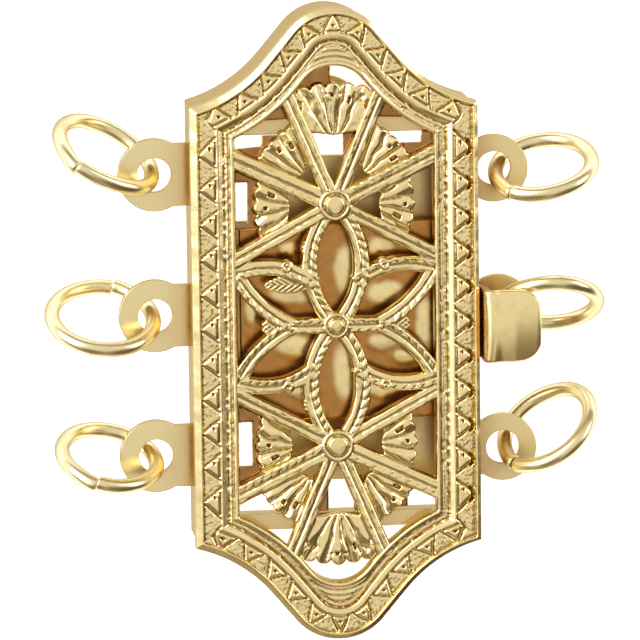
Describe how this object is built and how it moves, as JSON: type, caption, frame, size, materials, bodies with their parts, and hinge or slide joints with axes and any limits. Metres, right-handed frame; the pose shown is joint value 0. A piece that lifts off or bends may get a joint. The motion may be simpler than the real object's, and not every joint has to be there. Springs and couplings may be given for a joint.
{
  "type": "multi-strand box clasp",
  "caption": "Flat pierced box clasp for a multi-strand necklace or bracelet, with a sprung sliding tongue, thumb tab, lugs and jump rings on both sides.",
  "frame": {"origin": "centre of the back face that the clasp rests on", "axes": "+Y along the clasp towards its upper point, +X from the box's lugs to the tongue's lugs, +Z out through the pierced cover"},
  "size_m": [0.0215, 0.0244, 0.0044],
  "materials": {
    "cast_gold": "cast yellow gold, bright high places, matt recesses",
    "polished_gold": "polished yellow gold sheet",
    "satin_gold": "satin yellow gold sheet",
    "wire_gold": "polished yellow gold wire"
  },
  "bodies": {
    "box": {"box_frame": "polished_gold", "filigree_cover": "cast_gold", "ring_left_top": "wire_gold", "ring_left_middle": "wire_gold", "ring_left_bottom": "wire_gold"},
    "tongue": {"tongue_plate": "satin_gold", "ring_right_top": "wire_gold", "ring_right_middle": "wire_gold", "ring_right_bottom": "wire_gold"},
    "leaf": {"spring_leaf": "polished_gold"}
  },
  "joints": [
    {"name": "tongue_slide", "type": "slide", "parent": "box", "child": "tongue", "axis": [1, 0, 0], "range_m": [0, 0.009]},
    {"name": "leaf_press", "type": "hinge", "parent": "tongue", "child": "leaf", "pos_m": [-0.0036, 0, 0.00181], "axis": [0, -1, 0], "range_deg": [0, 2.2], "stiffness_Nm_per_rad": 0.0005, "springref_deg": 3.44}
  ]
}
